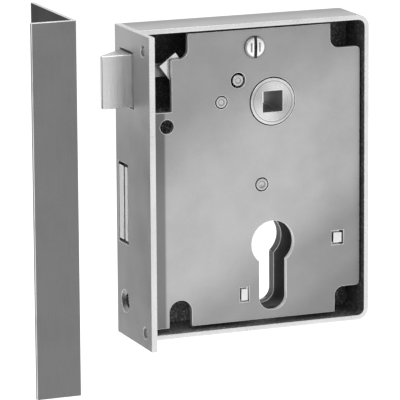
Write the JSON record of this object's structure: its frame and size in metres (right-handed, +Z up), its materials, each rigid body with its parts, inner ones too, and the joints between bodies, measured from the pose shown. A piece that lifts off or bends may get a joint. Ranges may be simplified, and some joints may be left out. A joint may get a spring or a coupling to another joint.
{
  "type": "mortise lock",
  "caption": "Narrow case gate lock with a sprung latch, a flush deadbolt, a square follower and a profile cylinder hole, with its angle strike.",
  "frame": {"origin": "centre of the forend's outer face", "axes": "+X into the gate, from the forend towards the case's far end; +Y from the cover to the back of the case; +Z up"},
  "size_m": [0.1432, 0.046, 0.1405],
  "materials": {
    "forend": "satin zinc plate",
    "zinc_sheet": "zinc plated sheet",
    "cover_sheet": "satin zinc plated sheet",
    "bright_steel": "bright machined",
    "latch_metal": "satin nickel plate",
    "spring_wire": "bright spring wire",
    "strike_sheet": "satin steel"
  },
  "bodies": {
    "case": {"forend": "forend", "case_tray": "zinc_sheet", "cover_plate": "cover_sheet", "cover_screw": "bright_steel", "cover_screw_post": "zinc_sheet", "latch_guide_pin": "bright_steel", "lever_stop_pin": "bright_steel", "lever_pivot_pin": "bright_steel", "tumbler_pin": "bright_steel", "cylinder_screw_guide": "bright_steel", "case_spacer": "bright_steel", "cylinder_plate": "zinc_sheet", "latch_spring": "spring_wire", "latch_spring_stud": "zinc_sheet", "follower_spring": "spring_wire", "follower_spring_seat": "zinc_sheet", "tumbler_spring": "spring_wire", "tumbler_spring_seat": "zinc_sheet"},
    "latch": {"latch_head": "latch_metal", "latch_tail": "zinc_sheet"},
    "follower": {"follower": "bright_steel"},
    "lever": {"changeover_lever": "bright_steel"},
    "bolt": {"bolt_front_plate": "bright_steel", "bolt_tail": "zinc_sheet", "bolt_back_plate": "bright_steel"},
    "tumbler": {"tumbler": "zinc_sheet"},
    "strike": {"strike_angle": "strike_sheet"}
  },
  "joints": [
    {"name": "handle_turn", "type": "hinge", "parent": "case", "child": "follower", "pos_m": [0.057, 0.009, 0.0285], "axis": [0, 1, 0], "range_deg": [0, 46], "stiffness_Nm_per_rad": 0.8, "springref_deg": -22.92, "deforming": ["follower_spring"]},
    {"name": "latch_slide", "type": "slide", "parent": "case", "child": "latch", "axis": [1, 0, 0], "range_m": [0, 0.0118], "deforming": ["latch_spring"]},
    {"name": "lever_turn", "type": "hinge", "parent": "case", "child": "lever", "pos_m": [0.0526, 0.004, -0.0033], "axis": [0, 1, 0], "range_deg": [0, 11.2]},
    {"name": "deadbolt_throw", "type": "slide", "parent": "case", "child": "bolt", "axis": [-1, 0, 0], "range_m": [0, 0.02]},
    {"name": "tumbler_lift", "type": "hinge", "parent": "case", "child": "tumbler", "pos_m": [0.083, 0.007, 0.008], "axis": [0, 1, 0], "range_deg": [0, 6], "stiffness_Nm_per_rad": 0.05, "springref_deg": -28.65, "deforming": ["tumbler_spring"]},
    {"name": "strike_gap", "type": "slide", "parent": "case", "child": "strike", "axis": [1, 0, 0], "range_m": [0, 0.0268]}
  ],
  "couplings": [
    {"joint": "latch_slide", "follows": "handle_turn", "m_per_rad": 0.014698},
    {"joint": "lever_turn", "follows": "handle_turn", "ratio": 0.24346}
  ]
}
